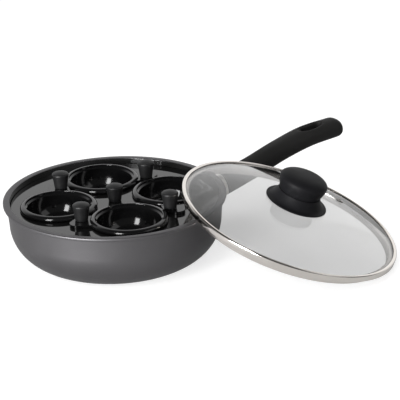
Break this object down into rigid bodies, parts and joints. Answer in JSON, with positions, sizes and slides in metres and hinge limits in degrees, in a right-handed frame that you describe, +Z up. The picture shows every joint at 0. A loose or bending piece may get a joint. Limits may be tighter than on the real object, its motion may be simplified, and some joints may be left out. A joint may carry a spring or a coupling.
{
  "type": "egg poacher pan",
  "caption": "Shallow dark pan with long black handle, lift-out poaching tray with knobbed egg cups, and a domed glass lid leaning on its rim.",
  "frame": {"origin": "middle of the pan's flat base, on the table", "axes": "+Z up, +X to the right and +Y away from the picture's viewer, so the handle points to +X +Y"},
  "size_m": [0.3676, 0.2897, 0.0908],
  "materials": {
    "pan_anodised": "satin dark grey anodised",
    "disc_steel": "turned steel",
    "bracket_metal": "cast, matte",
    "ferrule_steel": "bright steel",
    "handle_black": "matte black moulded",
    "screw_steel": "bright steel",
    "tray_nonstick": "glossy dark non-stick coating",
    "cup_nonstick": "glossy black non-stick coating",
    "knob_black": "matte black moulded",
    "lid_knob_black": "matte black moulded",
    "lid_glass": "clear toughened glass",
    "band_steel": "polished steel",
    "vent_steel": "polished steel",
    "gasket_rubber": "matte black silicone"
  },
  "bodies": {
    "pan": {"pan_body": "pan_anodised", "base_disc": "disc_steel", "handle_bracket": "bracket_metal", "handle_ferrule": "ferrule_steel", "handle_grip": "handle_black", "handle_screw": "screw_steel"},
    "tray": {"poacher_tray": "tray_nonstick", "tray_knob": "knob_black", "tray_knob_washer": "screw_steel", "tray_knob_screw": "screw_steel"},
    "egg_cup_right": {"cup_right": "cup_nonstick", "knob_right": "knob_black", "screw_right": "screw_steel"},
    "egg_cup_back": {"cup_back": "cup_nonstick", "knob_back": "knob_black", "screw_back": "screw_steel"},
    "egg_cup_left": {"cup_left": "cup_nonstick", "knob_left": "knob_black", "screw_left": "screw_steel"},
    "egg_cup_front": {"cup_front": "cup_nonstick", "knob_front": "knob_black", "screw_front": "screw_steel"},
    "lid": {"lid_glass": "lid_glass", "lid_band": "band_steel", "lid_vent": "vent_steel", "lid_knob_base": "lid_knob_black", "lid_knob_cap": "lid_knob_black", "lid_knob_gasket": "gasket_rubber", "lid_knob_screw": "screw_steel"}
  },
  "joints": [
    {"name": "tray_lift", "type": "slide", "parent": "pan", "child": "tray", "axis": [0, 0, 1], "range_m": [0, 0.08]},
    {"name": "cup_right_lift", "type": "slide", "parent": "tray", "child": "egg_cup_right", "axis": [0, 0, 1], "range_m": [0, 0.06]},
    {"name": "cup_back_lift", "type": "slide", "parent": "tray", "child": "egg_cup_back", "axis": [0, 0, 1], "range_m": [0, 0.06]},
    {"name": "cup_left_lift", "type": "slide", "parent": "tray", "child": "egg_cup_left", "axis": [0, 0, 1], "range_m": [0, 0.06]},
    {"name": "cup_front_lift", "type": "slide", "parent": "tray", "child": "egg_cup_front", "axis": [0, 0, 1], "range_m": [0, 0.06]},
    {"name": "lid_lift", "type": "slide", "parent": "egg_cup_right", "child": "lid", "axis": [0, 0, 1], "range_m": [0, 0.12]}
  ]
}
